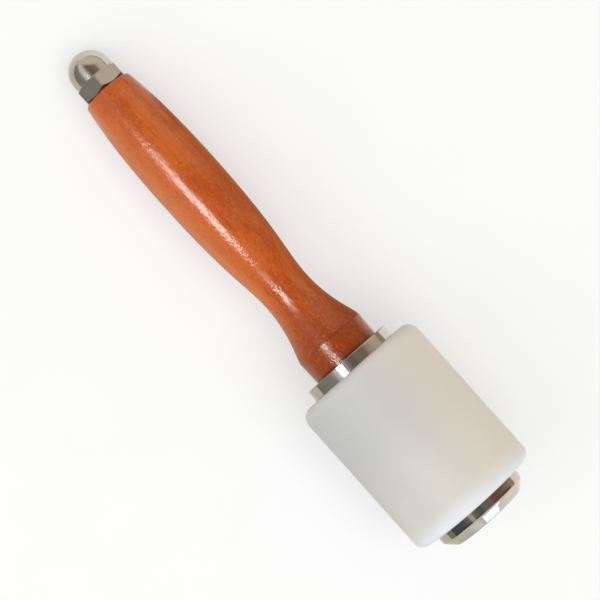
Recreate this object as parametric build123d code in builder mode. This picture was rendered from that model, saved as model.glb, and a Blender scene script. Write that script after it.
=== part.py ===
"""Leatherworker's mallet: a nylon head and a turned wooden handle on one steel tie rod.

The tool is a stack of turned pieces that a single threaded rod clamps together:

    end plate | nylon head | collar | wooden handle | domed nut

The axis of every piece is X. The end plate's outer face lies at x = 0, its normal is +X,
and the handle runs towards -X. Z is up when the tool lies on a bench. Units are millimetres.
"""

import os
from math import cos, radians, tan

from build123d import *

# ---------------------------------------------------------------------------------------
# Driving dimensions
# ---------------------------------------------------------------------------------------

# End plate: a polished steel disc, tapped from behind, with a wide bevel on its rim.
plate_diameter = 35.0
plate_thickness = 7.0
plate_bevel = 3.4
plate_thread_depth = 5.0

# Nylon head: the part that strikes.
head_diameter = 50.0
head_length = 61.5
head_front_edge_radius = 3.0
head_back_edge_radius = 4.4

# Collar: a steel washer between the head and the handle.
collar_diameter = 35.0
collar_thickness = 4.3
collar_edge_radius = 0.25

# Handle: stations along the handle, measured from the collar, and the radius at each.
handle_length = 123.7
foot_radius = 13.20
arris_station, arris_radius = 8.8, 13.38
flare_station, flare_radius = 15.5, 11.30
neck_station, neck_radius = 30.7, 9.05
rise_station, rise_radius = 48.7, 10.72
belly_station, belly_radius = 81.7, 12.12
butt_radius = 9.40
butt_edge_radius = 1.6
flare_slope = 0.24
butt_slope = 0.15

# Tie rod: M10 stud, threaded at both ends, with a plain shank between.
rod_diameter = 10.0
rod_thread_pitch = 1.5
rod_thread_height = 0.92
rod_front_turns = 3
rod_back_turns = 9
rod_end_gap = 0.4

# Domed nut: M10, 16 mm across flats.
nut_across_flats = 16.0
nut_hex_height = 5.8
nut_crown_radius = 7.8
nut_height = 16.0
nut_bevel_angle = 34.0
nut_thread_depth = 11.5

# Clearances on radius: rod in a tapped hole, and rod in a drilled hole.
thread_clearance = 0.05
rod_clearance = 0.25
bore_chamfer = 0.6

# ---------------------------------------------------------------------------------------
# Derived positions along the axis
# ---------------------------------------------------------------------------------------

plate_back_x = -plate_thickness
head_back_x = plate_back_x - head_length
collar_back_x = head_back_x - collar_thickness
butt_x = collar_back_x - handle_length
nut_tip_x = butt_x - nut_height

tapped_radius = rod_diameter / 2 + thread_clearance
drilled_radius = rod_diameter / 2 + rod_clearance


def cross_section(x):
    """Return the plane square to the tool's axis at x."""
    return Plane.YZ.offset(x)


def outer_edges(part, x):
    """Return the widest circular edge of a part in the cross-section at x."""
    rims = part.edges().filter_by(GeomType.CIRCLE).filter_by_position(Axis.X, x, x)
    return rims.sort_by(SortBy.RADIUS)[-1:]


def inner_edges(part, x):
    """Return the narrowest circular edge of a part in the cross-section at x."""
    rims = part.edges().filter_by(GeomType.CIRCLE).filter_by_position(Axis.X, x, x)
    return rims.sort_by(SortBy.RADIUS)[:1]


# ---------------------------------------------------------------------------------------
# End plate
# ---------------------------------------------------------------------------------------

with BuildPart() as end_plate:
    with BuildSketch(cross_section(plate_back_x)):
        Circle(plate_diameter / 2)
    extrude(amount=plate_thickness)
    chamfer(outer_edges(end_plate.part, 0), length=plate_bevel)
    with BuildSketch(cross_section(plate_back_x)):
        Circle(tapped_radius)
    extrude(amount=plate_thread_depth, mode=Mode.SUBTRACT)

end_plate.part.label = "end_plate"

# ---------------------------------------------------------------------------------------
# Nylon head
# ---------------------------------------------------------------------------------------

with BuildPart() as nylon_head:
    with BuildSketch(cross_section(head_back_x)):
        Circle(head_diameter / 2)
        Circle(drilled_radius, mode=Mode.SUBTRACT)
    extrude(amount=head_length)
    fillet(outer_edges(nylon_head.part, plate_back_x), radius=head_front_edge_radius)
    fillet(outer_edges(nylon_head.part, head_back_x), radius=head_back_edge_radius)
    chamfer(inner_edges(nylon_head.part, plate_back_x), length=bore_chamfer)
    chamfer(inner_edges(nylon_head.part, head_back_x), length=bore_chamfer)

nylon_head.part.label = "nylon_head"

# ---------------------------------------------------------------------------------------
# Collar
# ---------------------------------------------------------------------------------------

with BuildPart() as collar:
    with BuildSketch(cross_section(collar_back_x)):
        Circle(collar_diameter / 2)
        Circle(drilled_radius, mode=Mode.SUBTRACT)
    extrude(amount=collar_thickness)
    fillet(outer_edges(collar.part, collar_back_x), radius=collar_edge_radius)

collar.part.label = "collar"

# ---------------------------------------------------------------------------------------
# Handle: a turned profile with a band, a crisp arris, a flare, a neck and a barrel grip
# ---------------------------------------------------------------------------------------

foot = (collar_back_x, foot_radius)
arris = (collar_back_x - arris_station, arris_radius)
flare = (collar_back_x - flare_station, flare_radius)
neck = (collar_back_x - neck_station, neck_radius)
rise = (collar_back_x - rise_station, rise_radius)
belly = (collar_back_x - belly_station, belly_radius)
butt = (butt_x, butt_radius)

with BuildPart() as handle:
    with BuildSketch():
        with BuildLine():
            Line((collar_back_x, drilled_radius), foot)
            Line(foot, arris)
            Spline(arris, flare, neck, tangents=((-1, -flare_slope), (-1, 0)))
            Spline(neck, rise, belly, tangents=((-1, 0), (-1, 0)))
            Spline(belly, butt, tangents=((-1, 0), (-1, -butt_slope)))
            Line(butt, (butt_x, drilled_radius))
            Line((butt_x, drilled_radius), (collar_back_x, drilled_radius))
        make_face()
    revolve(axis=Axis.X)
    fillet(outer_edges(handle.part, butt_x), radius=butt_edge_radius)
    chamfer(inner_edges(handle.part, butt_x), length=bore_chamfer)

handle.part.label = "handle"

# ---------------------------------------------------------------------------------------
# Tie rod: each thread is drawn as a row of ridges with the pitch and depth of the real one
# ---------------------------------------------------------------------------------------

rod_front_x = plate_back_x + plate_thread_depth - rod_end_gap
rod_back_x = butt_x - nut_thread_depth + rod_end_gap
rod_crest_radius = rod_diameter / 2
rod_root_radius = rod_crest_radius - rod_thread_height


def thread_outline(start_x, turns, step):
    """Return the points of a ridged outline that starts at start_x and advances by step."""
    points = [(start_x, rod_root_radius)]
    for turn in range(turns):
        ridge_x = start_x + turn * step
        points.append((ridge_x + step / 2, rod_crest_radius))
        points.append((ridge_x + step, rod_root_radius))
    return points


front_thread = thread_outline(rod_front_x, rod_front_turns, -rod_thread_pitch)
back_thread = thread_outline(rod_back_x, rod_back_turns, rod_thread_pitch)
shank_front = (front_thread[-1][0] - rod_thread_height, rod_crest_radius)
shank_back = (back_thread[-1][0] + rod_thread_height, rod_crest_radius)

with BuildPart() as tie_rod:
    with BuildSketch():
        with BuildLine():
            Polyline(
                (rod_front_x, 0),
                *front_thread,
                shank_front,
                shank_back,
                *reversed(back_thread),
                (rod_back_x, 0),
                close=True,
            )
        make_face()
    revolve(axis=Axis.X)

tie_rod.part.label = "tie_rod"

# ---------------------------------------------------------------------------------------
# Domed nut: a bevelled hexagon, a crown turned to a half ball, and a blind tapped hole
# ---------------------------------------------------------------------------------------

nut_corner_radius = nut_across_flats / 2 / cos(radians(30))
nut_bevel_run = nut_corner_radius - nut_crown_radius
nut_bevel_depth = nut_bevel_run * tan(radians(nut_bevel_angle))
hex_top_x = butt_x - nut_hex_height
crown_centre_x = nut_tip_x + nut_crown_radius

with BuildPart() as dome_nut:
    with BuildSketch(cross_section(butt_x)):
        RegularPolygon(nut_across_flats / 2, side_count=6, major_radius=False, rotation=30)
    extrude(amount=-nut_hex_height)
    with BuildSketch():
        with BuildLine():
            Polyline(
                (butt_x, 0),
                (butt_x, nut_crown_radius),
                (butt_x - nut_bevel_depth, nut_corner_radius),
                (hex_top_x + nut_bevel_depth, nut_corner_radius),
                (hex_top_x, nut_crown_radius),
                (hex_top_x, 0),
                close=True,
            )
        make_face()
    revolve(axis=Axis.X, mode=Mode.INTERSECT)
    with BuildSketch():
        with BuildLine():
            Line((hex_top_x, 0), (hex_top_x, nut_crown_radius))
            Line((hex_top_x, nut_crown_radius), (crown_centre_x, nut_crown_radius))
            RadiusArc((crown_centre_x, nut_crown_radius), (nut_tip_x, 0), -nut_crown_radius)
            Line((nut_tip_x, 0), (hex_top_x, 0))
        make_face()
    revolve(axis=Axis.X)
    with BuildSketch(cross_section(butt_x)):
        Circle(tapped_radius)
    extrude(amount=-nut_thread_depth, mode=Mode.SUBTRACT)

dome_nut.part.label = "dome_nut"

# ---------------------------------------------------------------------------------------
# One STEP file for each piece
# ---------------------------------------------------------------------------------------

os.makedirs("parts", exist_ok=True)
for piece in (end_plate, nylon_head, collar, handle, tie_rod, dome_nut):
    export_step(piece.part, f"parts/{piece.part.label}.step")
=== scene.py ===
"""A leatherworker's mallet, laid on a pale bench under soft light.

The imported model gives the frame: the tool's axis is X, the end plate's outer face is at
x = 0 and the handle runs towards -X. Every turned piece is cut again here from a finer
outline, with the marks that its making leaves, and each finish is a procedural material.
Lengths are in metres. A Range is where a value starts and ends, and a Span is a Range
followed by what the value becomes at each end.
"""

import logging
import math
from collections.abc import Callable
from dataclasses import dataclass, field
from enum import Enum

import bmesh
import bpy
from mathutils import Matrix, Vector, noise

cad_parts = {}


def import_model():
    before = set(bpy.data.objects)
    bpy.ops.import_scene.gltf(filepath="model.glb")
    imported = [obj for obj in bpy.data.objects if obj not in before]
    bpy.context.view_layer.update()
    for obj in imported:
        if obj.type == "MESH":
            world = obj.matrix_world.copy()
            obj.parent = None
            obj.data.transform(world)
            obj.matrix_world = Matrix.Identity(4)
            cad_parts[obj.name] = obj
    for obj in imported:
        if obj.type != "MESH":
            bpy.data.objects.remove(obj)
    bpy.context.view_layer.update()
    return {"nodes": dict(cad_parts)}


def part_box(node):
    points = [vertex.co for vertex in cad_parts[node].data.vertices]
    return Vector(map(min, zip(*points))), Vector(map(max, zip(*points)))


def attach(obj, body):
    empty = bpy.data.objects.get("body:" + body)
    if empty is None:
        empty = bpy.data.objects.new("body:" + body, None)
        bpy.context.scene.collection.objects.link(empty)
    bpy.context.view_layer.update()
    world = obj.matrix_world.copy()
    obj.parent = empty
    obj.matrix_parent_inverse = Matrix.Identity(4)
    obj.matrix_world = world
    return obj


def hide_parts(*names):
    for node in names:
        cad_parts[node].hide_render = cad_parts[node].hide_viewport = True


LOG = logging.getLogger("mallet")
MM = 0.001
BODY = "root"
SIXTH_TURN = math.radians(60.0)

Socket = bpy.types.NodeSocket
Colour = tuple[float, float, float]
Point = tuple[float, float]
Range = tuple[float, float]
Span = tuple[float, float, float, float]
Layers = tuple[tuple[Socket, Colour | Socket], ...]


# ---------------------------------------------------------------------------------------
# Node graphs
# ---------------------------------------------------------------------------------------


class Graph:
    """A node tree with short calls that add a node and join its sockets."""

    def __init__(self, tree: bpy.types.NodeTree) -> None:
        """Wrap a tree.

        Args:
            tree: the tree that gets the nodes.
        """
        self.tree = tree

    def add(self, kind: str, inputs: dict | None = None, **settings: object) -> bpy.types.Node:
        """Add a node, set its properties and fill its inputs.

        Args:
            kind: the node's type name.
            inputs: input name or index, to a constant or to the socket that feeds it.
            settings: properties of the node itself.

        Returns:
            The new node.
        """
        node = self.tree.nodes.new(kind)
        for name, value in settings.items():
            setattr(node, name, value)
        for key, value in (inputs or {}).items():
            if isinstance(value, Socket):
                self.tree.links.new(value, node.inputs[key])
            else:
                node.inputs[key].default_value = value
        return node

    def math(self, operation: str, *values: object, clamp: bool = False) -> Socket:
        """Add a Math node and return its output.

        Args:
            operation: the Math node's operation.
            values: up to three constants or sockets.
            clamp: keep the result between 0 and 1.

        Returns:
            The value socket.
        """
        node = self.add("ShaderNodeMath", dict(enumerate(values)), operation=operation)
        node.use_clamp = clamp
        return node.outputs[0]

    def remap(self, value: object, low: float, high: float, to_low: float = 0.0,
              to_high: float = 1.0) -> Socket:
        """Map a value smoothly from one range to another, and hold it there.

        Args:
            value: the socket to map.
            low: the value that becomes to_low.
            high: the value that becomes to_high.
            to_low: the result at and before low.
            to_high: the result at and past high.

        Returns:
            The mapped value socket.
        """
        inputs = {0: value, 1: low, 2: high, 3: to_low, 4: to_high}
        node = self.add("ShaderNodeMapRange", inputs, interpolation_type="SMOOTHSTEP")
        return node.outputs[0]

    def mix(self, factor: object, first: object, second: object) -> Socket:
        """Mix two colours.

        Args:
            factor: how much of the second colour shows.
            first: a socket or a colour.
            second: a socket or a colour.

        Returns:
            The colour socket.
        """
        node = self.add("ShaderNodeMix", data_type="RGBA")
        for index, value in ((0, factor), (6, first), (7, second)):
            if isinstance(value, Socket):
                self.tree.links.new(value, node.inputs[index])
            else:
                node.inputs[index].default_value = (*value, 1.0) if index else value
        return node.outputs[2]

    def ramp(self, value: object, stops: tuple[tuple[float, Colour], ...]) -> Socket:
        """Colour a value by a ramp.

        Args:
            value: the socket that chooses the colour, from 0 to 1.
            stops: each colour with its place.

        Returns:
            The colour socket.
        """
        node = self.add("ShaderNodeValToRGB", {0: value})
        elements = node.color_ramp.elements
        while len(elements) < len(stops):
            elements.new(0.5)
        for element, (place, colour) in zip(elements, stops):
            element.position = place
            element.color = (*colour, 1.0)
        return node.outputs[0]

    def noise(self, position: object, scale: float, detail: float = 3.0,
              roughness: float = 0.5) -> Socket:
        """Add a noise texture and return its value.

        Args:
            position: the vector socket that places the texture.
            scale: features per metre, roughly.
            detail: the number of finer layers.
            roughness: how strong the finer layers are.

        Returns:
            The value socket.
        """
        inputs = {"Vector": position, "Scale": scale, "Detail": detail, "Roughness": roughness}
        return self.add("ShaderNodeTexNoise", inputs).outputs[0]

    def stretched(self, along: object, around: object) -> Socket:
        """Return object coordinates, scaled along the tool's axis and across it.

        Args:
            along: the factor on X.
            around: the factor on Y and Z.

        Returns:
            The vector socket.
        """
        place = self.add("ShaderNodeTexCoord").outputs["Object"]
        scale = self.add("ShaderNodeCombineXYZ", {0: along, 1: around, 2: around}).outputs[0]
        product = self.add("ShaderNodeVectorMath", {0: place, 1: scale}, operation="MULTIPLY")
        return product.outputs[0]

    def position(self) -> list[Socket]:
        """Return the object coordinates: along the tool's axis, across it and up."""
        place = self.add("ShaderNodeTexCoord").outputs["Object"]
        return list(self.add("ShaderNodeSeparateXYZ", {0: place}).outputs)

    def axial(self) -> tuple[Socket, Socket]:
        """Find where a point lies on the tool.

        Returns:
            The position along the tool's axis and the distance from it.
        """
        along, across, up = self.position()
        flat = self.add("ShaderNodeCombineXYZ", {0: 0.0, 1: across, 2: up}).outputs[0]
        length = self.add("ShaderNodeVectorMath", {0: flat}, operation="LENGTH")
        return along, length.outputs["Value"]

    def layered(self, base: Colour | Socket, layers: Layers) -> Socket:
        """Lay colours over a base, one after the other.

        Args:
            base: the colour at the bottom.
            layers: each layer's mask with its colour, from the bottom up.

        Returns:
            The colour socket.
        """
        for mask, tint in layers:
            base = self.mix(mask, base, tint)
        return base

    def weighted(self, base: float, *terms: tuple[Socket, float]) -> Socket:
        """Add sockets to a base, each with its weight.

        Args:
            base: the value where every socket is 0.
            terms: each socket with its weight.

        Returns:
            The value socket.
        """
        total: float | Socket = base
        for source, weight in terms:
            total = self.math("ADD", total, self.math("MULTIPLY", source, weight))
        return total


class Effect:
    """A shader node group that several finishes share, built once on first use."""

    name: str = ""
    inputs: dict[str, float] = {}
    outputs: tuple[str, ...] = ()

    @classmethod
    def build(cls, graph: Graph, sockets: dict[str, Socket]) -> dict:
        """Make the group's nodes.

        Args:
            graph: the group's own graph.
            sockets: the group's inputs by name.

        Returns:
            The value socket that feeds each output, by name.
        """
        raise NotImplementedError

    @classmethod
    def tree(cls) -> bpy.types.NodeTree:
        """Find the group's node tree, and make it the first time it is asked for.

        Returns:
            The node tree.
        """
        made = bpy.data.node_groups.get(cls.name)
        if made:
            return made
        tree = bpy.data.node_groups.new(cls.name, "ShaderNodeTree")
        for name, value in cls.inputs.items():
            socket = tree.interface.new_socket(name, in_out="INPUT", socket_type="NodeSocketFloat")
            socket.default_value = value
        for name in cls.outputs:
            tree.interface.new_socket(name, in_out="OUTPUT", socket_type="NodeSocketFloat")
        graph = Graph(tree)
        sources = graph.add("NodeGroupInput").outputs
        graph.add("NodeGroupOutput", cls.build(graph, {name: sources[name] for name in cls.inputs}))
        return tree

    @classmethod
    def place(cls, graph: Graph, **values: float) -> dict[str, Socket]:
        """Place the group in a material.

        Args:
            graph: the material's graph.
            values: inputs that differ from the group's defaults, with _ for a space.

        Returns:
            The group's outputs by name.
        """
        inputs = {name.replace("_", " "): value for name, value in values.items()}
        node = graph.add("ShaderNodeGroup", node_tree=cls.tree())
        for name, value in inputs.items():
            node.inputs[name].default_value = value
        return {name: node.outputs[name] for name in cls.outputs}


class RingBand(Effect):
    """A ragged band around the tool at one place on its axis, solid in its middle."""

    name = "ring_band"
    inputs = {"Centre": 0.0, "Half Width": 0.001, "Ragged": 0.0003, "Grain": 400.0}
    outputs = ("Mask",)
    edge: Span = (0.35, 1.0, 1.0, 0.0)

    @classmethod
    def build(cls, graph: Graph, sockets: dict[str, Socket]) -> dict:
        """Mask the band.

        Args:
            graph: the group's own graph.
            sockets: the group's inputs by name.

        Returns:
            The mask, by name.
        """
        along, _ = graph.axial()
        wander = graph.noise(graph.stretched(sockets["Grain"], sockets["Grain"]), 1.0, detail=4.0)
        wander = graph.math("MULTIPLY", graph.math("SUBTRACT", wander, 0.5), sockets["Ragged"])
        offset = graph.math("SUBTRACT", graph.math("ADD", along, wander), sockets["Centre"])
        near = graph.math("DIVIDE", graph.math("ABSOLUTE", offset), sockets["Half Width"])
        return {"Mask": graph.remap(near, *cls.edge)}


class TurningMarks(Effect):
    """Fine rings that a lathe tool leaves on the sides and the faces of a turned piece."""

    name = "turning_marks"
    inputs = {"Pitch": 0.0003, "Waver": 0.02}
    outputs = ("Height", "Streak")
    waver_scale: float = 60.0
    coarse_scale: float = 0.16

    @classmethod
    def build(cls, graph: Graph, sockets: dict[str, Socket]) -> dict:
        """Make the rings, fine and coarse.

        Args:
            graph: the group's own graph.
            sockets: the group's inputs by name.

        Returns:
            The rings' height and the broader streaks, by name.
        """
        along, out = graph.axial()
        place = graph.math("DIVIDE", graph.math("ADD", along, out), sockets["Pitch"])
        waver = graph.noise(graph.stretched(0.0, cls.waver_scale), 1.0, detail=2.0)
        place = graph.math("ADD", place, graph.math("MULTIPLY", waver, sockets["Waver"]))
        line = graph.add("ShaderNodeCombineXYZ", {0: place, 1: 0.0, 2: 0.0}).outputs[0]
        fine = graph.noise(line, 1.0, detail=5.0, roughness=0.7)
        coarse = graph.noise(line, cls.coarse_scale, detail=2.0, roughness=0.6)
        return {"Height": fine, "Streak": coarse}


class Smudge(Effect):
    """Handling marks: soft blotches with a few finer specks in them."""

    name = "smudge"
    inputs = {"Size": 0.008, "Sharpness": 0.5}
    outputs = ("Mask", "Speck")
    speck_scale: float = 9.0
    blotches: Range = (0.38, 0.68)
    specks: Range = (0.62, 0.75)

    @classmethod
    def build(cls, graph: Graph, sockets: dict[str, Socket]) -> dict:
        """Mask the blotches and the specks.

        Args:
            graph: the group's own graph.
            sockets: the group's inputs by name.

        Returns:
            The two masks, by name.
        """
        scale = graph.math("DIVIDE", 1.0, sockets["Size"])
        place = graph.stretched(scale, scale)
        blotch = graph.noise(place, 1.0, detail=4.0, roughness=sockets["Sharpness"])
        speck = graph.noise(place, cls.speck_scale, detail=2.0, roughness=0.6)
        return {
            "Mask": graph.remap(blotch, *cls.blotches),
            "Speck": graph.remap(speck, *cls.specks),
        }


class Fibre(Effect):
    """Wood fibre: soft streaks, a few open pores and dark specks, and a mottled grain."""

    name = "fibre"
    inputs = {"Streak Length": 0.011, "Streak Width": 0.0009, "Mottle Size": 0.009}
    outputs = ("Streak", "Pore", "Mottle", "Grain", "Speck")
    pore_shortening: float = 7.0
    pore_thinning: float = 2.2
    pores: Range = (0.74, 0.84)
    mottle_stretch: float = 0.4
    grain_scale: Point = (850.0, 1500.0)
    speck_scale: float = 190.0
    speck_edge: Span = (0.035, 0.075, 1.0, 0.0)
    specks_chosen: Range = (0.80, 0.84)

    @classmethod
    def build(cls, graph: Graph, sockets: dict[str, Socket]) -> dict:
        """Make the fibre's layers.

        Args:
            graph: the group's own graph.
            sockets: the group's inputs by name.

        Returns:
            The layers' values and masks, by name.
        """
        long = graph.math("DIVIDE", 1.0, sockets["Streak Length"])
        thin = graph.math("DIVIDE", 1.0, sockets["Streak Width"])
        streak = graph.noise(graph.stretched(long, thin), 1.0, detail=5.0, roughness=0.6)
        pore_place = graph.stretched(graph.math("MULTIPLY", long, cls.pore_shortening),
                                     graph.math("MULTIPLY", thin, cls.pore_thinning))
        pore = graph.noise(pore_place, 1.0, detail=1.0)
        blotch = graph.math("DIVIDE", 1.0, sockets["Mottle Size"])
        mottle_place = graph.stretched(graph.math("MULTIPLY", blotch, cls.mottle_stretch), blotch)
        mottle = graph.noise(mottle_place, 1.0, detail=4.0, roughness=0.6)
        grain = graph.noise(graph.stretched(*cls.grain_scale), 1.0, detail=3.0, roughness=0.65)
        cells = graph.add("ShaderNodeTexVoronoi",
                          {"Vector": graph.stretched(1.0, 1.0), "Scale": cls.speck_scale})
        chosen = graph.add("ShaderNodeSeparateColor", {0: cells.outputs["Color"]}).outputs[0]
        near = graph.remap(cells.outputs["Distance"], *cls.speck_edge)
        return {
            "Streak": streak,
            "Pore": graph.remap(pore, *cls.pores),
            "Mottle": mottle,
            "Grain": grain,
            "Speck": graph.math("MULTIPLY", near, graph.remap(chosen, *cls.specks_chosen)),
        }


# ---------------------------------------------------------------------------------------
# Finishes
# ---------------------------------------------------------------------------------------


class Slot(Enum):
    """The record's material slots."""

    STEEL = "polished_steel"
    NYLON = "nylon"
    WOOD = "lacquered_wood"
    ROD = "rod_steel"
    PLATING = "plated_steel"


@dataclass(frozen=True)
class Finish:
    """What every finish has: a name, a slot and the shader's constants."""

    name: str
    slot: Slot
    constants: dict[str, object] = field(default_factory=dict)

    def material(self) -> bpy.types.Material:
        """Build the material: a Principled BSDF whose varying inputs come from paint().

        Returns:
            The material.
        """
        material = bpy.data.materials.new(self.name)
        material.use_nodes = True
        material.node_tree.nodes.clear()
        graph = Graph(material.node_tree)
        shader = graph.add("ShaderNodeBsdfPrincipled", dict(self.constants))
        graph.add("ShaderNodeOutputMaterial", {"Surface": shader.outputs[0]})
        for name, source in self.paint(graph).items():
            graph.tree.links.new(source, shader.inputs[name])
        return material

    def paint(self, graph: Graph) -> dict[str, Socket]:
        """Make what changes over the surface.

        Args:
            graph: the material's graph.

        Returns:
            The socket that feeds each shader input, by name.
        """
        raise NotImplementedError

    @staticmethod
    def bump(graph: Graph, height: object, depth: float, normal: object = None) -> Socket:
        """Turn a height into a surface normal.

        Args:
            graph: the material's graph.
            height: the height socket, from 0 to 1.
            depth: what a height of 1 stands for.
            normal: the normal to build on.

        Returns:
            The normal socket.
        """
        inputs = {"Strength": 1.0, "Distance": depth, "Height": height}
        if normal is not None:
            inputs["Normal"] = normal
        return graph.add("ShaderNodeBump", inputs).outputs[0]


@dataclass(frozen=True)
class LacqueredWood(Finish):
    """Red-brown stained hardwood under a clear gloss lacquer.

    Attributes:
        side_light: where painted window light makes the -Y side paler, across the tool.
        darken_past_neck: how far towards the butt from the neck the wood starts to darken.
        darken_past_foot: how far from the foot it is darkest.
        arris_x: the seam's place on the axis, as foot_x, neck_x and butt_x are the places
            of the collar end, the neck and the butt.
    """

    light: Colour = (0.53, 0.113, 0.019)
    middle: Colour = (0.405, 0.069, 0.009)
    # painted light: the paler colour of the -Y side, where a window lights it
    side_light_tint: Colour = (0.63, 0.22, 0.090)
    fleck: Colour = (0.58, 0.155, 0.040)
    dark: Colour = (0.22, 0.030, 0.003)
    pore: Colour = (0.065, 0.014, 0.004)
    mottling: Range = (0.34, 0.66)
    streaking: Span = (0.48, 0.74, 0.0, 0.42)
    dark_grain: Span = (0.50, 0.72, 0.0, 0.40)
    light_grain: Span = (0.48, 0.26, 0.0, 0.55)
    side_light: Span = (-3 * MM, -11 * MM, 0.0, 0.55)
    darken_past_neck: float = 8 * MM
    darken_past_foot: float = 4 * MM
    foot_darkening: float = 0.85
    fleck_scale: Point = (650.0, 1300.0)
    pale_flecks: Span = (0.50, 0.74, 0.0, 0.34)
    dark_flecks: Span = (0.46, 0.26, 0.0, 0.25)
    pore_darkness: float = 0.07
    speck_darkness: float = 0.80
    roughness: float = 0.06
    smudge_roughness: float = 0.07
    peel_scale: Point = (1100.0, 1500.0)
    peel_depth: float = 0.09 * MM
    dent_scale: Point = (260.0, 420.0)
    dents: Range = (0.55, 0.75)
    dent_depth: float = 0.03 * MM
    speck_depth: float = 0.05 * MM
    seam_break_scale: float = 90.0
    seam_breaks: Span = (0.48, 0.64, 0.0, 0.45)
    # painted shade where the wood meets the collar and the nut
    foot_shade: float = 0.55
    butt_shade: float = 0.5
    arris_x: float = 0.0
    foot_x: float = 0.0
    neck_x: float = 0.0
    butt_x: float = 0.0

    def paint(self, graph: Graph) -> dict[str, Socket]:
        """Stain the wood and lay the lacquer over its dents and specks.

        Args:
            graph: the material's graph.

        Returns:
            The sockets for colour, roughness and normal.
        """
        fibre = Fibre.place(graph)
        smudge = Smudge.place(graph, Size=0.005, Sharpness=0.6)
        rough = graph.weighted(self.roughness, (smudge["Mask"], self.smudge_roughness))
        peel = graph.noise(graph.stretched(*self.peel_scale), 1.0, detail=3.0, roughness=0.6)
        normal = self.bump(graph, peel, self.peel_depth)
        dents = graph.noise(graph.stretched(*self.dent_scale), 1.0, detail=2.0)
        normal = self.bump(graph, graph.remap(dents, *self.dents), self.dent_depth, normal)
        flush = graph.math("SUBTRACT", 1.0, fibre["Speck"])
        normal = self.bump(graph, flush, self.speck_depth, normal)
        colour = graph.layered(self.middle, self.stain(graph, fibre))
        return {"Base Color": colour, "Roughness": rough, "Normal": normal}

    def stain(self, graph: Graph, fibre: dict[str, Socket]) -> Layers:
        """Make the layers of the stain, with painted light and painted shade among them, over its
        middle colour.

        Args:
            graph: the material's graph.
            fibre: the wood fibre's values and masks by name.

        Returns:
            Each layer's mask and colour, from the bottom up.
        """
        along, across, _ = graph.position()
        # darker towards the foot, from past the neck on
        foot_darkening = graph.remap(along, self.neck_x - self.darken_past_neck,
                               self.foot_x - self.darken_past_foot, 0.0, self.foot_darkening)
        flecks = graph.noise(graph.stretched(*self.fleck_scale), 1.0, detail=2.0)
        return (
            (graph.remap(fibre["Mottle"], *self.mottling), self.light),
            (graph.remap(fibre["Streak"], *self.streaking), self.dark),
            (graph.remap(fibre["Grain"], *self.dark_grain), self.dark),
            (graph.remap(fibre["Grain"], *self.light_grain), self.light),
            # painted light: the -Y side turns paler
            (graph.remap(across, *self.side_light), self.side_light_tint),
            (foot_darkening, self.dark),
            (graph.remap(flecks, *self.pale_flecks), self.fleck),
            (graph.remap(flecks, *self.dark_flecks), self.dark),
            (graph.math("MULTIPLY", fibre["Pore"], self.pore_darkness), self.pore),
            (graph.math("MULTIPLY", fibre["Speck"], self.speck_darkness), self.pore),
            # dark patches along the seam, and painted shade at the foot and butt, in the pore colour
            (self.dark_seam_and_shaded_ends(graph), self.pore),
        )

    def dark_seam_and_shaded_ends(self, graph: Graph) -> Socket:
        """Mask dark seam patches, and painted shade at the foot and the butt.

        Args:
            graph: the material's graph.

        Returns:
            The mask socket.
        """
        seam = RingBand.place(graph, Centre=self.arris_x, Half_Width=0.5 * MM, Ragged=1.0 * MM,
                              Grain=170.0)["Mask"]
        scale = self.seam_break_scale
        broken = graph.remap(graph.noise(graph.stretched(scale, scale), 1.0), *self.seam_breaks)
        foot = RingBand.place(graph, Centre=self.foot_x, Half_Width=1.2 * MM, Ragged=0.8 * MM)["Mask"]
        butt = RingBand.place(graph, Centre=self.butt_x, Half_Width=0.8 * MM, Ragged=0.8 * MM)["Mask"]
        # painted shade at the ends of the wood, against the collar and the nut
        ends = graph.math("MAXIMUM", graph.math("MULTIPLY", foot, self.foot_shade),
                          graph.math("MULTIPLY", butt, self.butt_shade))
        return graph.math("MAXIMUM", graph.math("MULTIPLY", seam, broken), ends)


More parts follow.
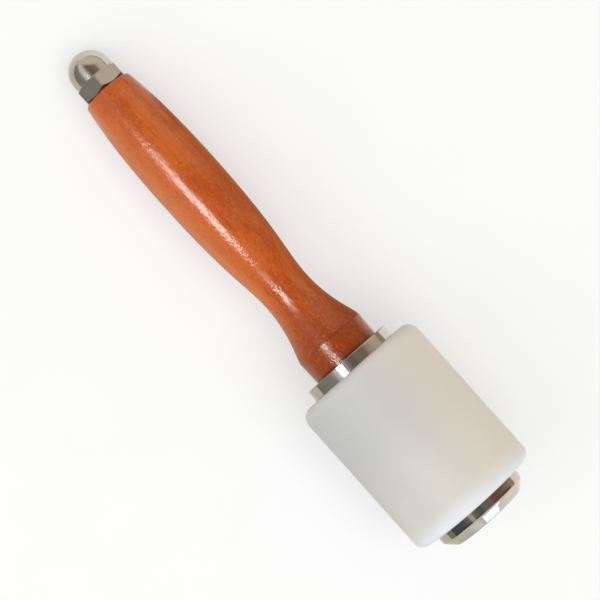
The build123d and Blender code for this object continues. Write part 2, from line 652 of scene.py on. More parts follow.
@dataclass(frozen=True)
class MilkyNylon(Finish):
    """Translucent off-white nylon, turned and then scuffed by use.

    Attributes:
        warming: where the warm tint grows, in parts of the head's length from its back,
            as front_rim_glow and back_rim_light are for the painted glow at the front rim and the
            painted light at the back.
        yellowing_and_side_light: where the yellowed tint, with painted warm light on the +Y side, grows
            across the tool.
        front_x: the head's front on the axis, as back_x is its back.
    """

    body: Colour = (0.475, 0.475, 0.463)
    warm: Colour = (0.66, 0.63, 0.55)
    # yellowing, with painted warm light on the +Y side
    yellowed_and_lit: Colour = (0.75, 0.675, 0.57)
    # painted glow at the front rim
    rim: Colour = (0.71, 0.745, 0.785)
    # painted light on the back edge, which lifts its shade
    rear_rim_light: Colour = (0.68, 0.68, 0.65)
    warming: Span = (0.25, 0.88, 0.0, 0.5)
    hazy: Range = (0.75, 1.0)
    yellowing_and_side_light: Span = (-8 * MM, 26 * MM, 0.0, 0.8)
    front_rim_glow: Span = (0.85, 1.0, 0.0, 0.78)
    back_rim_light: Span = (0.078, 0.01, 0.0, 0.42)
    ring_pitch: float = 0.45 * MM
    ring_depth: float = 0.010 * MM
    speck_depth: float = 0.008 * MM
    roughness: float = 0.47
    haze_roughness: float = 0.10
    front_x: float = 0.0
    back_x: float = 0.0

    def paint(self, graph: Graph) -> dict[str, Socket]:
        """Tint the nylon, with painted light on its rims and its +Y side, and mark it with rings and
        specks.

        Args:
            graph: the material's graph.

        Returns:
            The sockets for colour, roughness and normal.
        """
        _, across, _ = graph.position()
        haze = Smudge.place(graph, Size=0.022, Sharpness=0.35)
        hazy = graph.remap(haze["Mask"], 0.0, 1.0, *self.hazy)
        colour = graph.layered(self.body, (
            (graph.math("MULTIPLY", self.lengthwise(graph, self.warming), hazy), self.warm),
            # yellowing and painted warm light towards the +Y side
            (graph.remap(across, *self.yellowing_and_side_light), self.yellowed_and_lit),
            # painted glow at the front rim
            (self.lengthwise(graph, self.front_rim_glow), self.rim),
            # painted light on the back edge
            (self.lengthwise(graph, self.back_rim_light), self.rear_rim_light),
        ))
        marks = TurningMarks.place(graph, Pitch=self.ring_pitch)
        rough = graph.weighted(self.roughness, (haze["Mask"], self.haze_roughness))
        normal = self.bump(graph, marks["Height"], self.ring_depth)
        normal = self.bump(graph, haze["Speck"], self.speck_depth, normal)
        return {"Base Color": colour, "Roughness": rough, "Normal": normal}

    def lengthwise(self, graph: Graph, span: Span) -> Socket:
        """Mask a part of the head's length.

        Args:
            graph: the material's graph.
            span: the part, in parts of the length from the back, and the mask at its ends.

        Returns:
            The mask socket.
        """
        along, _, _ = graph.position()
        start, end = (self.back_x + part * (self.front_x - self.back_x) for part in span[:2])
        return graph.remap(along, start, end, *span[2:])


@dataclass(frozen=True)
class TurnedSteel(Finish):
    """Bright steel with lathe rings, faint handling marks and its own roughness."""

    bright: Colour = (0.66, 0.64, 0.61)
    dull: Colour = (0.57, 0.545, 0.51)
    roughness: float = 0.055
    smudge_roughness: float = 0.03
    smudge_dulling: float = 0.55
    streaks: Span = (0.45, 0.7, 0.0, 0.3)
    ring_pitch: float = 0.22 * MM
    ring_depth: float = 0.0012 * MM

    def paint(self, graph: Graph) -> dict[str, Socket]:
        """Dull the steel where it is smudged and streaked, and cut the lathe's rings.

        Args:
            graph: the material's graph.

        Returns:
            The sockets for colour, roughness and normal.
        """
        marks = TurningMarks.place(graph, Pitch=self.ring_pitch)
        smudge = Smudge.place(graph, Size=0.006)
        stain = graph.math("MULTIPLY", smudge["Mask"], self.smudge_dulling)
        stain = graph.math("ADD", stain, graph.remap(marks["Streak"], *self.streaks), clamp=True)
        colour = graph.mix(stain, self.bright, self.dull)
        rough = graph.weighted(self.roughness, (smudge["Mask"], self.smudge_roughness),
                               (smudge["Speck"], self.smudge_roughness))
        normal = self.bump(graph, marks["Height"], self.ring_depth)
        return {"Base Color": colour, "Roughness": rough, "Normal": normal}


# ---------------------------------------------------------------------------------------
# Turning: outlines and the meshes they make
# ---------------------------------------------------------------------------------------


@dataclass
class Outline:
    """The outline of a turned piece, built run by run as (x, radius) points.

    Attributes:
        step: the length along the axis of the pieces of a curve.
        nearest: points closer than this are one.
    """

    step: float = 0.6 * MM
    nearest: float = 1e-7
    points: list[Point] = field(default_factory=list)

    def start(self, x: float, radius: float) -> "Outline":
        """Begin the outline at a point."""
        self.points = [(x, radius)]
        return self

    def line(self, x: float, radius: float, step: float | None = None) -> "Outline":
        """Draw a straight run.

        Args:
            x: where the run ends along the axis.
            radius: where the run ends out from the axis.
            step: the longest piece of the run, or None for one piece.

        Returns:
            The outline itself.
        """
        x0, r0 = self.points[-1]
        count = max(1, round(math.hypot(x - x0, radius - r0) / step)) if step else 1
        for index in range(1, count + 1):
            part = index / count
            self.points.append((x0 + (x - x0) * part, r0 + (radius - r0) * part))
        return self

    def arc(self, centre: Point, radius: float, first: float, last: float, count: int = 8) -> "Outline":
        """Draw an arc, joined to the outline by a straight run.

        Args:
            centre: the arc's centre.
            radius: the arc's radius.
            first: the angle where it starts, in degrees from +X towards the outside.
            last: the angle where it ends.
            count: the number of pieces.

        Returns:
            The outline itself.
        """
        for index in range(count + 1):
            angle = math.radians(first + (last - first) * index / count)
            point = (centre[0] + radius * math.cos(angle), centre[1] + radius * math.sin(angle))
            if math.dist(point, self.points[-1]) > self.nearest:
                self.points.append(point)
        return self

    def curve(self, x: float, radius: float, slope_in: float, slope_out: float) -> "Outline":
        """Draw a smooth run with a given slope at each end.

        Args:
            x: where the run ends along the axis.
            radius: where the run ends out from the axis.
            slope_in: change of radius with x where the run starts.
            slope_out: change of radius with x where the run ends.

        Returns:
            The outline itself.
        """
        x0, r0 = self.points[-1]
        span = x - x0
        count = max(2, round(abs(span) / self.step))
        for index in range(1, count + 1):
            t = index / count
            r = (r0 * (2 * t**3 - 3 * t**2 + 1) + radius * (3 * t**2 - 2 * t**3)
                 + slope_in * span * (t**3 - 2 * t**2 + t) + slope_out * span * (t**3 - t**2))
            self.points.append((x0 + span * t, r))
        return self


Relief = Callable[[float, float, float], float]


def turn(name: str, outlines: list[list[Point]], closed: bool, relief: Relief | None = None,
         smooth_angle: float = 32.0) -> bpy.types.Object:
    """Sweep outlines round the tool's axis into one closed mesh.

    Args:
        name: the piece's name.
        outlines: one outline for each step round the axis, all with the same number of
            points. Points at radius 0 become one pole.
        closed: whether the last point joins the first, as it does around a bore.
        relief: given x, radius and angle, how far the surface stands proud.
        smooth_angle: edges sharper than this many degrees stay sharp.

    Returns:
        The new object, linked to the scene and riding on the body.
    """
    steps = len(outlines)
    rows = len(outlines[0])
    builder = bmesh.new()
    grid: list[list[bmesh.types.BMVert]] = []
    for row in range(rows):
        if outlines[0][row][1] == 0.0:
            grid.append([builder.verts.new((outlines[0][row][0], 0.0, 0.0))] * steps)
            continue
        ring = []
        for column in range(steps):
            angle = 2 * math.pi * column / steps
            x, radius = outlines[column][row]
            if relief:
                radius += relief(x, radius, angle)
            ring.append(builder.verts.new((x, radius * math.cos(angle), radius * math.sin(angle))))
        grid.append(ring)
    for row in range(rows if closed else rows - 1):
        near, far = grid[row], grid[(row + 1) % rows]
        for column in range(steps):
            beside = (column + 1) % steps
            corners = [near[column], near[beside], far[beside], far[column]]
            unique = list(dict.fromkeys(corners))
            if len(unique) > 2:
                builder.faces.new(unique)
    bmesh.ops.recalc_face_normals(builder, faces=builder.faces)
    for face in builder.faces:
        face.smooth = True
    for edge in builder.edges:
        edge.smooth = edge.calc_face_angle(0.0) < math.radians(smooth_angle)
    mesh = bpy.data.meshes.new(name)
    builder.to_mesh(mesh)
    builder.free()
    piece = bpy.data.objects.new(name, mesh)
    bpy.context.scene.collection.objects.link(piece)
    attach(piece, BODY)
    return piece


def rounded(name: str, outline: Outline, steps: int, closed: bool,
            relief: Relief | None = None) -> bpy.types.Object:
    """Turn one outline all the way round, as a lathe does.

    Args:
        name: the piece's name.
        outline: the outline to sweep.
        steps: the number of steps round the axis.
        closed: whether the outline goes round a bore.
        relief: given x, radius and angle, how far the surface stands proud.

    Returns:
        The new object.
    """
    return turn(name, [outline.points] * steps, closed, relief)


@dataclass
class Piece:
    """A piece of the tool that takes the place of one CAD node.

    Attributes:
        bore: the radius of the hole for the tie rod.
        steps: the number of steps round the axis.
        seat_step: the length of the mesh's pieces on an end that sits against another
            piece, as face_step and side_step are those on a free end and along the side.
    """

    node: str
    name: str
    finish: Finish
    bore: float = 5.25 * MM
    steps: int = 192
    seat_step: float = 1.5 * MM
    face_step: float = 1.2 * MM
    side_step: float = 0.6 * MM

    def __post_init__(self) -> None:
        """Read the node's place from the frame."""
        low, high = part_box(self.node)
        self.back: float = low.x
        self.front: float = high.x
        self.radius: float = high.y

    def mesh(self) -> bpy.types.Object:
        """Make the piece's mesh and return its object."""
        raise NotImplementedError

    def build(self) -> bpy.types.Object:
        """Make the piece, dress it and hide the node it stands for.

        Returns:
            The finished object.
        """
        piece = self.mesh()
        piece.data.materials.append(self.finish.material())
        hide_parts(self.node)
        LOG.info("%s: %d faces, for %s", self.name, len(piece.data.polygons), self.node)
        return piece


@dataclass
class EndPlate(Piece):
    """The steel disc that closes the head: a flat face, a wide bevel and a short rim."""

    bevel: float = 3.4 * MM
    softening: float = 0.18 * MM
    tapped_depth: float = 5.0 * MM
    tapped_radius: float = 5.05 * MM
    centre_mark: float = 0.9 * MM
    centre_depth: float = 0.54 * MM

    def mesh(self) -> bpy.types.Object:
        """Turn the plate, with its blind thread at the back.

        Returns:
            The plate's object.
        """
        soft = self.softening
        slant = 0.7 * soft
        face = self.radius - self.bevel
        outline = Outline().start(self.back + self.tapped_depth, 0.0)
        outline.line(self.back + self.tapped_depth, self.tapped_radius)
        outline.line(self.back, self.tapped_radius)
        outline.line(self.back, self.radius - soft, step=self.seat_step)
        outline.line(self.back + soft, self.radius)
        outline.line(self.front - self.bevel - soft, self.radius, step=self.side_step)
        outline.line(self.front - self.bevel + slant, self.radius - slant)
        outline.line(self.front - slant, face + slant, step=self.side_step)
        outline.line(self.front, face - soft)
        outline.line(self.front, self.centre_mark, step=self.face_step)
        outline.line(self.front - self.centre_depth, 0.0)
        return rounded(self.name, outline, self.steps, closed=False)


@dataclass
class NylonHead(Piece):
    """The striking head: a nylon cylinder with soft edges that use has dulled.

    Attributes:
        bruise_along: how fast the bruises change along the axis, as bruise_around is
            round it.
        bruise_share: the more it is, the more of the side is bruised.
    """

    front_edge: float = 3.0 * MM
    back_edge: float = 4.4 * MM
    bruise_depth: float = 0.05 * MM
    bruise_along: float = 120.0
    bruise_around: float = 2.6
    bruise_share: float = 0.15
    side_step: float = 0.9 * MM

    def mesh(self) -> bpy.types.Object:
        """Turn the cylinder round its bore.

        Returns:
            The head's object.
        """
        rear, fore, r = self.back_edge, self.front_edge, self.radius
        outline = Outline().start(self.back, self.bore)
        outline.line(self.back, r - rear, step=self.seat_step)
        outline.arc((self.back + rear, r - rear), rear, 180.0, 90.0, count=16)
        outline.line(self.front - fore, r, step=self.side_step)
        outline.arc((self.front - fore, r - fore), fore, 90.0, 0.0, count=12)
        outline.line(self.front, self.bore, step=self.seat_step)
        return rounded(self.name, outline, self.steps, closed=True, relief=self.bruises)

    def bruises(self, x: float, radius: float, angle: float) -> float:
        """Hollow the side where it has struck, and never raise it.

        Args:
            x: the place along the axis.
            radius: the distance from the axis.
            angle: the angle round it.

        Returns:
            How far the surface stands proud, 0 or less.
        """
        if radius < self.radius / 2:
            return 0.0
        around = self.bruise_around
        place = Vector((x * self.bruise_along, around * math.cos(angle), around * math.sin(angle)))
        return -self.bruise_depth * max(0.0, noise.noise(place) + self.bruise_share)


@dataclass
class Collar(Piece):
    """The steel ring between head and handle, with its outer edge eased."""

    edge: float = 0.25 * MM
    softening: float = 0.12 * MM

    def mesh(self) -> bpy.types.Object:
        """Turn the ring round its bore.

        Returns:
            The ring's object.
        """
        edge, r = self.edge, self.radius
        outline = Outline().start(self.back, self.bore)
        outline.line(self.back, r - edge, step=self.face_step)
        outline.arc((self.back + edge, r - edge), edge, 180.0, 90.0, count=6)
        outline.line(self.front - self.softening, r, step=self.side_step)
        outline.line(self.front, r - self.softening)
        outline.line(self.front, self.bore, step=self.face_step)
        return rounded(self.name, outline, self.steps, closed=True)


@dataclass
class Handle(Piece):
    """The turned handle.

    Attributes:
        arris: the edge of the foot, as a station and a radius, as flare, neck, rise and
            belly are. Stations are measured from the collar towards the butt.
        arris_slope: change of radius with x just past the arris, as the other slopes are
            at their own places.
        seam_evenness: the part of the seam's depth that is everywhere, where crumbling is
            how much the crumbled wood changes it.
        waver: how deep the hand's unevenness goes.
        waver_shares: how much of it is even, slow and quick.
        sway_scale: how fast it changes slowly, along the axis and round it, as
            ripple_scale is for its quicker part.
    """

    foot_radius: float = 13.20 * MM
    arris: Point = (8.8 * MM, 13.36 * MM)
    flare: Point = (15.5 * MM, 11.30 * MM)
    neck: Point = (30.7 * MM, 9.05 * MM)
    rise: Point = (48.7 * MM, 10.72 * MM)
    belly: Point = (81.7 * MM, 12.12 * MM)
    butt_radius: float = 9.40 * MM
    butt_edge: float = 1.6 * MM
    arris_slope: float = 0.24
    flare_slope: float = 0.285
    rise_slope: float = -0.098
    butt_slope: float = 0.15
    seam_depth: float = 0.03 * MM
    seam_width: float = 0.28 * MM
    seam_wander: float = 0.25 * MM
    seam_evenness: float = 0.6
    crumbling: float = 0.7
    crumble_scale: float = 7.0
    crumble_layer: float = 3.1
    waver: float = 0.035 * MM
    waver_shares: tuple[float, float, float] = (0.75, 0.7, 0.35)
    sway_scale: Point = (130.0, 3.0)
    ripple_scale: Point = (420.0, 6.0)
    steps: int = 224
    side_step: float = 0.35 * MM

    def at(self, station: float) -> float:
        """Return the place on the axis of a station."""
        return self.front - station

    def mesh(self) -> bpy.types.Object:
        """Turn the handle: foot, arris, neck, belly and the rounded butt.

        Returns:
            The handle's object.
        """
        edge = self.butt_edge
        shoulder = self.butt_radius + edge * self.butt_slope
        outline = Outline(step=0.55 * MM).start(self.front, self.bore)
        outline.line(self.front, self.foot_radius, step=self.seat_step)
        outline.line(self.at(self.arris[0]), self.arris[1], step=self.side_step)
        for (station, radius), slope_in, slope_out in (
            (self.flare, self.arris_slope, self.flare_slope),
            (self.neck, self.flare_slope, 0.0),
            (self.rise, 0.0, self.rise_slope),
            (self.belly, self.rise_slope, 0.0),
        ):
            outline.curve(self.at(station), radius, slope_in, slope_out)
        outline.curve(self.back + edge, shoulder, 0.0, self.butt_slope)
        outline.arc((self.back + edge, shoulder - edge), edge, 90.0, 180.0, count=7)
        outline.line(self.back, self.bore, step=self.face_step)
        return rounded(self.name, outline, self.steps, closed=True, relief=self.marks)

    def marks(self, x: float, radius: float, angle: float) -> float:
        """Cut the seam at the arris and the waver of hand sanding.

        Args:
            x: the place along the axis.
            radius: the distance from the axis.
            angle: the angle round it.

        Returns:
            How far the surface stands proud, 0 or less.
        """
        if radius < 0.6 * self.butt_radius:
            return 0.0
        round_y, round_z = math.cos(angle), math.sin(angle)
        crumble = noise.noise(Vector((self.crumble_scale * round_y, self.crumble_scale * round_z,
                                      self.crumble_layer)))
        off = (x - self.at(self.arris[0]) + self.seam_wander * crumble) / self.seam_width
        seam = -self.seam_depth * (self.seam_evenness + self.crumbling * crumble) * math.exp(-off * off)
        sway, ripple = (
            noise.noise(Vector((x * along, around * round_y, around * round_z)))
            for along, around in (self.sway_scale, self.ripple_scale)
        )
        even, swayed, rippled = self.waver_shares
        return seam - self.waver * (even + swayed * sway + rippled * ripple)


@dataclass
class DomeNut(Piece):
    """The domed nut: a hexagon bevelled at both ends under a half-ball crown.

    Attributes:
        bevel_angle: the bevels' slope from the nut's end faces, in degrees.
        side_rows: the mesh's rows on the flats, as throat_rows and crown_rows are those
            on the short cylinder above them and on the ball.
    """

    across_flats: float = 16.0 * MM
    hex_height: float = 5.8 * MM
    crown_radius: float = 7.8 * MM
    bevel_angle: float = 34.0
    tapped_depth: float = 11.5 * MM
    tapped_radius: float = 5.05 * MM
    corner_softening: float = 0.05 * MM
    side_rows: int = 8
    throat_rows: int = 4
    crown_rows: int = 28
    steps: int = 240
    smooth_angle: float = 24.0

    @property
    def corner_radius(self) -> float:
        """Return the distance of the hexagon's sharp corners from the axis."""
        return self.across_flats / 2 / math.cos(SIXTH_TURN / 2)

    def hex_radius(self, angle: float) -> float:
        """Find the hexagon's radius, with its corners softened.

        Args:
            angle: the angle from a corner, in radians.

        Returns:
            The radius.
        """
        off_flat = (angle % SIXTH_TURN) - SIXTH_TURN / 2
        sharp = self.across_flats / 2 / math.cos(off_flat)
        return min(sharp, self.corner_radius - self.corner_softening)

    def section(self, angle: float) -> list[Point]:
        """Draw the nut's outline at an angle, from the thread's end round to the tip.

        Args:
            angle: the angle from a corner, in radians.

        Returns:
            The outline's points.
        """
        seat, top = self.front, self.front - self.hex_height
        wide = self.hex_radius(angle)
        drop = (wide - self.crown_radius) * math.tan(math.radians(self.bevel_angle))
        outline = Outline().start(seat - self.tapped_depth, 0.0)
        outline.line(seat - self.tapped_depth, self.tapped_radius)
        outline.line(seat, self.tapped_radius)
        outline.line(seat, self.crown_radius)
        outline.line(seat - drop, wide)
        for part in (row / self.side_rows for row in range(1, self.side_rows + 1)):
            outline.points.append((seat - drop + (top + 2 * drop - seat) * part, wide))
        outline.line(top, self.crown_radius)
        centre = self.back + self.crown_radius
        for part in (row / self.throat_rows for row in range(1, self.throat_rows + 1)):
            outline.points.append((top + (centre - top) * part, self.crown_radius))
        for index in range(1, self.crown_rows):
            lift = math.radians(90.0 * index / self.crown_rows)
            outline.points.append((centre - self.crown_radius * math.sin(lift),
                                   self.crown_radius * math.cos(lift)))
        outline.points.append((self.back, 0.0))
        return outline.points

    def mesh(self) -> bpy.types.Object:
        """Make the nut, with a flat of its hexagon to each side.

        Returns:
            The nut's object.
        """
        angles = (2 * math.pi * column / self.steps for column in range(self.steps))
        sections = [self.section(angle + SIXTH_TURN / 2) for angle in angles]
        return turn(self.name, sections, closed=False, smooth_angle=self.smooth_angle)


# ---------------------------------------------------------------------------------------
# The stage: bench, world, lights and camera
# ---------------------------------------------------------------------------------------


@dataclass
class Bench:
    """The pale surface the tool lies on, touched by the head's rim and the nut's corner.

    The mirrored colours are what the metal and the lacquer show of it. A pair of them
    goes from the -Y side to the +Y side, and places are measured from the head's rim.

    Attributes:
        rim: where the head's rim touches the bench, along the axis and down from it, as
            corner is for the nut.
        fade: how the card turns to plain white with distance, from its haze nearby.
        mirrored_shade: the tool's own shade, beside the handle.
        mirrored_far: the dim room past the edge of the card at either side.
        mirrored_ahead: the brighter card in front of the head, which begins at ahead_start
            and spreads at the angle that spread gives.
    """

    rim: Point
    corner: Point
    reach: float = 4.0
    fade: Span = (0.35, 1.1, 0.42, 1.0)
    colour: Colour = (0.805, 0.82, 0.815)
    mottle_scale: float = 30.0
    mottling: Range = (0.3, 0.7)
    mottle_darkness: float = 0.985
    mirrored_near: tuple[Colour, Colour] = ((0.68, 0.635, 0.54), (0.96, 0.90, 0.81))
    mirrored_shade: tuple[Colour, Colour] = ((0.54, 0.48, 0.39), (0.30, 0.20, 0.13))
    mirrored_far: tuple[Colour, Colour] = ((0.24, 0.235, 0.20), (0.38, 0.28, 0.20))
    mirrored_ahead: Colour = (0.80, 0.82, 0.83)
    sides: Range = (-0.04, 0.04)
    butt_end: Range = (-0.128, -0.120)
    collar_end: Span = (-0.022, -0.014, 1.0, 0.0)
    card_edge: Range = (0.12, 0.14)
    edge_ends: Span = (0.02, 0.08, 1.0, 0.0)
    ahead_start: Range = (0.10, 0.45)
    spread: float = 0.6

    def build(self) -> None:
        """Make the surface and its material, and mark it as stage."""
        tilt = math.atan((self.rim[1] - self.corner[1]) / (self.rim[0] - self.corner[0]))
        mesh = bpy.data.meshes.new("bench")
        half = self.reach
        mesh.from_pydata([(-half, -half, 0), (half, -half, 0), (half, half, 0), (-half, half, 0)],
                         [], [(0, 1, 2, 3)])
        bench = bpy.data.objects.new("bench", mesh)
        lean = Matrix.Rotation(tilt, 4, "Y")
        bench.matrix_world = Matrix.Translation((self.rim[0], 0.0, -self.rim[1])) @ lean
        bpy.context.scene.collection.objects.link(bench)
        mesh.materials.append(self.material())

    def material(self) -> bpy.types.Material:
        """Make matt card that turns into an even white far from the tool.

        Returns:
            The material.
        """
        material = bpy.data.materials.new("bench_card")
        material.use_nodes = True
        material.node_tree.nodes.clear()
        graph = Graph(material.node_tree)
        place = graph.add("ShaderNodeTexCoord").outputs["Object"]
        away = graph.add("ShaderNodeVectorMath", {0: place}, operation="LENGTH").outputs["Value"]
        mottle = graph.remap(graph.noise(place, self.mottle_scale, detail=4.0), *self.mottling)
        shaded = tuple(self.mottle_darkness * part for part in self.colour)
        card = graph.add("ShaderNodeBsdfPrincipled", {
            "Base Color": graph.mix(mottle, self.colour, shaded),
            "Roughness": 0.7, "Specular IOR Level": 0.2,
        })
        white = graph.add("ShaderNodeEmission", {"Color": (1.0, 1.0, 1.0, 1.0), "Strength": 1.0})
        mirrored = graph.add("ShaderNodeEmission", {"Color": self.mirrored(graph, place)})
        glossy = graph.add("ShaderNodeLightPath").outputs["Is Glossy Ray"]
        seen = card
        for factor, other in ((graph.remap(away, *self.fade), white), (glossy, mirrored)):
            seen = graph.add("ShaderNodeMixShader",
                             {0: factor, 1: seen.outputs[0], 2: other.outputs[0]})
        graph.add("ShaderNodeOutputMaterial", {"Surface": seen.outputs[0]})
        return material

    def mirrored(self, graph: Graph, place: Socket) -> Socket:
        """Colour what a gloss surface shows of the bench.

        Args:
            graph: the bench's graph.
            place: the position on the bench.

        Returns:
            The colour socket.
        """
        along, across, _ = graph.add("ShaderNodeSeparateXYZ", {0: place}).outputs
        side = graph.remap(across, *self.sides)
        aside = graph.math("ABSOLUTE", across)
        ahead = graph.math("SUBTRACT", along, graph.math("MULTIPLY", aside, self.spread))
        beside = graph.math("MULTIPLY", graph.remap(along, *self.butt_end),
                            graph.remap(along, *self.collar_end))
        past = graph.math("MULTIPLY", graph.remap(aside, *self.card_edge),
                          graph.remap(ahead, *self.edge_ends))
        return graph.layered(graph.mix(side, *self.mirrored_near), (
            (beside, graph.mix(side, *self.mirrored_shade)),
            (graph.remap(ahead, *self.ahead_start), self.mirrored_ahead),
            (past, graph.mix(side, *self.mirrored_far)),
        ))


@dataclass(frozen=True)
class Softbox:
    """A rectangular light aimed at the tool.

    Attributes:
        way: the direction towards it from the tool.
        in_reflections: whether gloss surfaces mirror it.
        on_surfaces: whether it lights matt surfaces.
    """

    name: str
    way: tuple[float, float, float]
    distance: float
    size: tuple[float, float]
    power: float
    colour: Colour = (1.0, 1.0, 1.0)
    in_reflections: bool = True
    on_surfaces: bool = True

    def build(self, target: Vector) -> None:
        """Make the light.

        Args:
            target: the point that it faces.
        """
        way = Vector(self.way).normalized()
        data = bpy.data.lights.new(self.name, "AREA")
        data.shape = "RECTANGLE"
        data.size, data.size_y = self.size
        data.energy = self.power
        data.color = self.colour
        light = bpy.data.objects.new(self.name, data)
        side = Vector((0.0, 1.0, 0.0)).cross(way).normalized()
        rows = Matrix((side, way.cross(side), way)).transposed().to_4x4()
        light.matrix_world = Matrix.Translation(target + way * self.distance) @ rows
        light.visible_camera = False
        light.visible_glossy = self.in_reflections
        light.visible_diffuse = self.on_surfaces
        bpy.context.scene.collection.objects.link(light)


@dataclass(frozen=True)
class Studio:
    """The room around the bench: white behind the tool, and dim to a mirror.

    Attributes:
        backdrop: what shows past the bench.
        ambient: the light on matt surfaces, from the -Y side to the +Y side, between the
            directions in ambient_sides.
        screens: the angle in degrees from the vertical, towards +Y, at which a mirror
            sees each screen, with its colour, over the handle's end of the room.
        head_end_screens: the same over the head's end, which starts at head_end.
        wall: the colour far behind the butt, where the direction's lean is in behind.
        lean_across: how much of the lean counts towards +Y.
        front_wall: the colour ahead of the tool, which starts at ahead.
    """

    backdrop: Colour = (1.0, 1.0, 1.0)
    ambient: tuple[Colour, Colour] = ((0.68, 0.69, 0.70), (0.62, 0.59, 0.55))
    screens: tuple[tuple[float, Colour], ...] = (
        (-84.0, (0.26, 0.25, 0.21)),
        (-58.0, (0.27, 0.26, 0.23)),
        (-48.0, (0.38, 0.36, 0.33)),
        (-40.0, (0.75, 0.72, 0.69)),
        (-22.0, (0.75, 0.72, 0.68)),
        (-14.0, (0.46, 0.41, 0.39)),
        (-3.0, (0.20, 0.165, 0.145)),
        (8.0, (0.16, 0.13, 0.11)),
        (20.0, (0.22, 0.18, 0.145)),
        (42.0, (0.25, 0.17, 0.11)),
        (50.0, (0.42, 0.31, 0.225)),
        (68.0, (0.43, 0.32, 0.235)),
        (86.0, (0.36, 0.25, 0.185)),
    )
    head_end_screens: tuple[tuple[float, Colour], ...] = (
        (-80.0, (0.055, 0.065, 0.08)),
        (-36.0, (0.065, 0.072, 0.085)),
        (-34.0, (0.42, 0.41, 0.31)),
        (-25.0, (0.42, 0.41, 0.31)),
        (-23.0, (0.10, 0.10, 0.105)),
        (-2.0, (0.10, 0.10, 0.10)),
        (8.0, (0.19, 0.18, 0.165)),
        (20.0, (0.17, 0.145, 0.13)),
        (26.0, (0.26, 0.18, 0.145)),
        (34.0, (0.17, 0.085, 0.065)),
        (80.0, (0.12, 0.055, 0.045)),
    )
    wall: Colour = (0.70, 0.61, 0.49)
    front_wall: Colour = (0.72, 0.70, 0.63)
    ambient_sides: Range = (-0.7, 0.7)
    head_end: Range = (0.03, 0.10)
    ahead: Range = (0.40, 0.65)
    lean_across: float = 0.7
    behind: Range = (0.50, 0.85)

    def build(self) -> None:
        """Make the world."""
        world = bpy.data.worlds.new("studio")
        world.use_nodes = True
        world.node_tree.nodes.clear()
        bpy.context.scene.world = world
        graph = Graph(world.node_tree)
        path = graph.add("ShaderNodeLightPath").outputs
        way = graph.add("ShaderNodeSeparateXYZ",
                        {0: graph.add("ShaderNodeTexCoord").outputs["Generated"]}).outputs
        ambient = graph.mix(graph.remap(way[1], *self.ambient_sides), *self.ambient)
        colour = graph.mix(path["Is Glossy Ray"], ambient, self.mirror_room(graph, way))
        colour = graph.mix(path["Is Camera Ray"], colour, self.backdrop)
        sky = graph.add("ShaderNodeBackground", {"Color": colour, "Strength": 1.0})
        graph.add("ShaderNodeOutputWorld", {"Surface": sky.outputs[0]})

    @staticmethod
    def screened(graph: Graph, place: Socket,
                 screens: tuple[tuple[float, Colour], ...]) -> Socket:
        """Colour a row of screens.

        Args:
            graph: the world's graph.
            place: the angle as a part of the half circle above the bench.
            screens: each angle in degrees from the vertical with its colour.

        Returns:
            The colour socket.
        """
        return graph.ramp(place, tuple((0.5 + at / 180.0, colour) for at, colour in screens))

    def mirror_room(self, graph: Graph, way: bpy.types.bpy_prop_collection) -> Socket:
        """Colour the room in the direction that a mirror looks.

        Args:
            graph: the world's graph.
            way: the direction's three parts.

        Returns:
            The colour socket.
        """
        angle = graph.math("ARCTAN2", way[1], way[2])
        place = graph.math("ADD", graph.math("DIVIDE", angle, math.pi), 0.5, clamp=True)
        lean = graph.math("SUBTRACT", graph.math("MULTIPLY", way[1], self.lean_across), way[0])
        return graph.layered(self.screened(graph, place, self.screens), (
            (graph.remap(way[0], *self.head_end), self.screened(graph, place, self.head_end_screens)),
            (graph.remap(way[0], *self.ahead), self.front_wall),
            (graph.remap(lean, *self.behind), self.wall),
        ))


@dataclass(frozen=True)
class OverheadCamera:
    """A long lens high above the bench, turned so that the tool lies corner to corner.

    Attributes:
        above: the point on the bench that it stands over.
        aim: the point that it looks at.
        axis_angle: the turn of its upward side from +Y, in degrees.
    """

    above: Point = (-72.1 * MM, 1.4 * MM)
    aim: Point = (-98.3 * MM, 1.4 * MM)
    height: float = 0.80
    lens: float = 140.1
    sensor_width: float = 36.0
    clip_start: float = 0.01
    axis_angle: float = -48.2

    def build(self) -> None:
        """Make the camera and hand it to the scene."""
        data = bpy.data.cameras.new("overhead")
        data.sensor_width = self.sensor_width
        data.lens = self.lens
        data.clip_start = self.clip_start
        camera = bpy.data.objects.new("overhead", data)
        eye = Vector((*self.above, self.height))
        back = (eye - Vector((*self.aim, 0.0))).normalized()
        turn_by = math.radians(self.axis_angle)
        up = Vector((math.sin(turn_by), math.cos(turn_by), 0.0))
        up = (up - back * up.dot(back)).normalized()
        right = up.cross(back)
        rows = Matrix((right, up, back)).transposed().to_4x4()
        camera.matrix_world = Matrix.Translation(eye) @ rows
        bpy.context.scene.collection.objects.link(camera)
        bpy.context.scene.camera = camera


def dress_rod(nodes: dict[str, bpy.types.Object]) -> None:
    """Give the hidden tie rod its plated steel.

    Args:
        nodes: the CAD nodes by name.
    """
    finish = TurnedSteel("rod_zinc", Slot.ROD, {"Metallic": 1.0}, bright=(0.60, 0.60, 0.61),
                         dull=(0.42, 0.42, 0.43), roughness=0.28, ring_pitch=0.5 * MM)
    rod = nodes["tie_rod"]
    rod.data.materials.clear()
    rod.data.materials.append(finish.material())
    LOG.info("tie_rod: kept from the frame")


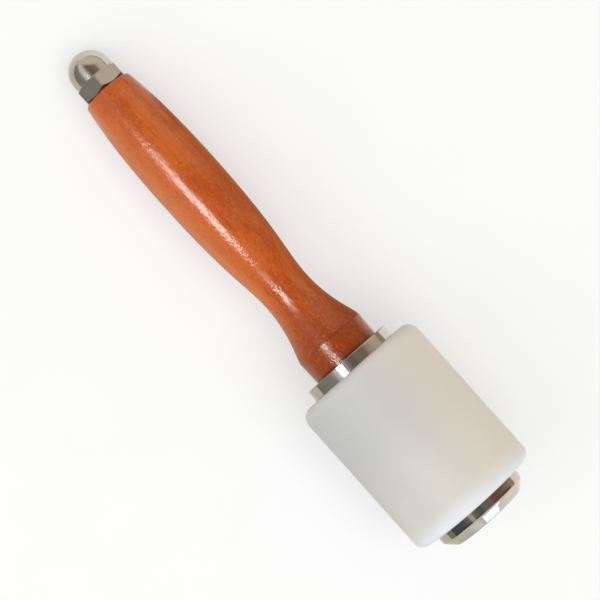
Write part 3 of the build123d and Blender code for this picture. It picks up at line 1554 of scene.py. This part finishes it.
def make_pieces() -> list[Piece]:
    """Choose the finishes and the pieces of the tool.

    Returns:
        The pieces, from the end plate to the nut.
    """
    polished = TurnedSteel("polished_steel", Slot.STEEL, {"Metallic": 1.0})
    plated = TurnedSteel("nickel_plate", Slot.PLATING, {"Metallic": 1.0}, bright=(0.65, 0.63, 0.595),
                         dull=(0.57, 0.55, 0.515), roughness=0.09, ring_depth=0.0006 * MM)
    head_low, head_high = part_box("nylon_head")
    nylon = MilkyNylon("milky_nylon", Slot.NYLON, {
        "Subsurface Weight": 0.35, "Subsurface Radius": (1.0, 0.92, 0.80),
        "Subsurface Scale": 4.0 * MM, "IOR": 1.5,
    }, front_x=head_high.x, back_x=head_low.x)
    wood_low, wood_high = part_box("handle")
    wood = LacqueredWood("lacquered_wood", Slot.WOOD, {"IOR": 1.5, "Specular IOR Level": 0.6},
                         arris_x=wood_high.x - Handle.arris[0], foot_x=wood_high.x,
                         neck_x=wood_high.x - Handle.neck[0], butt_x=wood_low.x)
    return [
        EndPlate("end_plate", "end_plate_disc", polished),
        NylonHead("nylon_head", "nylon_cylinder", nylon),
        Collar("collar", "collar_ring", polished),
        Handle("handle", "turned_handle", wood),
        DomeNut("dome_nut", "acorn_nut", plated),
    ]


LIGHTS = (
    Softbox("window", way=(-0.1, -0.8, 0.7), distance=1.5, size=(1.3, 1.3), power=7.0,
            in_reflections=False),
    Softbox("glint", way=(-0.0905, -0.345, 0.72), distance=0.8035, size=(0.215, 0.196), power=2.2,
            colour=(1.0, 0.99, 0.97), on_surfaces=False),
    Softbox("overhead", way=(0.35, 0.10, 1.0), distance=1.5, size=(1.3, 1.3), power=11.5,
            in_reflections=False),
    Softbox("low_card", way=(1.0, 0.13, -0.11), distance=1.0, size=(0.08, 0.42), power=0.40,
            colour=(1.0, 0.99, 0.97)),
)


def set_stage(head: NylonHead, nut: DomeNut) -> None:
    """Make the bench under the tool, the room and the lights.

    Args:
        head: the nylon head, whose rim stands on the bench.
        nut: the nut, whose corner touches it.
    """
    touch_past_seat = 1.0 * MM
    Bench(rim=(head.back + head.back_edge, head.radius),
          corner=(nut.front - touch_past_seat, nut.corner_radius)).build()
    Studio().build()
    for light in LIGHTS:
        light.build(Vector((head.back, 0.0, 0.0)))
    bpy.context.scene.view_settings.view_transform = "Standard"


def main() -> None:
    """Build the tool piece by piece, then the bench, the light and the camera."""
    logging.basicConfig(level=logging.INFO, format="%(name)s: %(message)s")
    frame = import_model()
    OverheadCamera().build()
    pieces = make_pieces()
    for piece in pieces:
        piece.build()
    dress_rod(frame["nodes"])
    head = next(piece for piece in pieces if isinstance(piece, NylonHead))
    nut = next(piece for piece in pieces if isinstance(piece, DomeNut))
    set_stage(head, nut)


if __name__ == "__main__":
    main()
